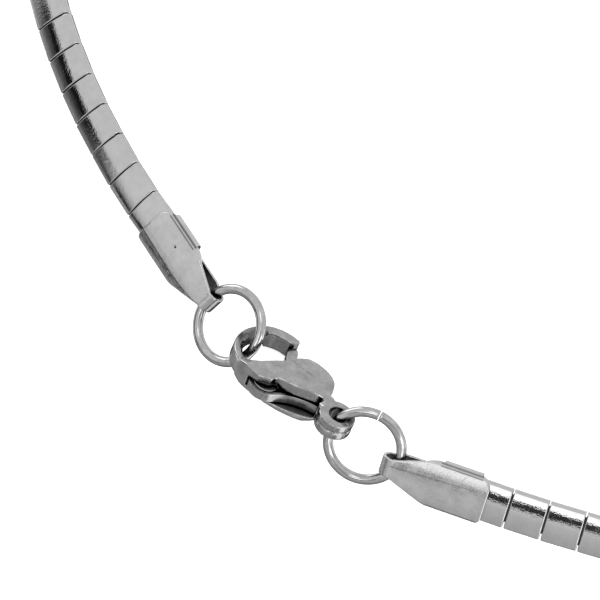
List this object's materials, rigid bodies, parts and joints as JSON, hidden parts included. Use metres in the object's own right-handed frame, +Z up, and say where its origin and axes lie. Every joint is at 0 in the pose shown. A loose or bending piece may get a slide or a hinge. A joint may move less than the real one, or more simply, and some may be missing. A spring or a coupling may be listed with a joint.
{
  "type": "rectangle link chain",
  "caption": "Flat neck chain of close domed steel plates on a core band, closed by folded end caps, round jump rings and a lobster clasp with a sprung lever.",
  "frame": {"origin": "middle of the chain's box, on the surface that it lies on", "axes": "+Z up from that surface, -Y towards the clasp, +X to the right seen from above with the clasp near the viewer"},
  "size_m": [0.1464, 0.1494, 0.0054],
  "materials": {
    "plate_steel": "polished stainless steel",
    "core_steel": "plain stainless steel strip, seen only in the slits",
    "cap_steel": "polished stainless steel with fine wear",
    "ring_steel": "polished stainless steel wire",
    "clasp_steel": "tumbled cast stainless steel with small pits, darker inside",
    "spring_steel": "spring strip with fine cross lines"
  },
  "bodies": {
    "chain": {"plates": "plate_steel", "core_band": "core_steel", "end_cap_left": "cap_steel", "end_cap_right": "cap_steel", "jump_ring_left": "ring_steel", "jump_ring_right": "ring_steel", "clasp_body": "clasp_steel", "clasp_pin": "clasp_steel", "clasp_spring": "spring_steel"},
    "lever": {"clasp_lever": "clasp_steel"}
  },
  "joints": [
    {"name": "lever_pivot", "type": "hinge", "parent": "chain", "child": "lever", "pos_m": [-0.00183, -0.07324, 0.00395], "axis": [0.0613, -0.5563, -0.8287], "range_deg": [0, 20], "stiffness_Nm_per_rad": 0.0005}
  ]
}
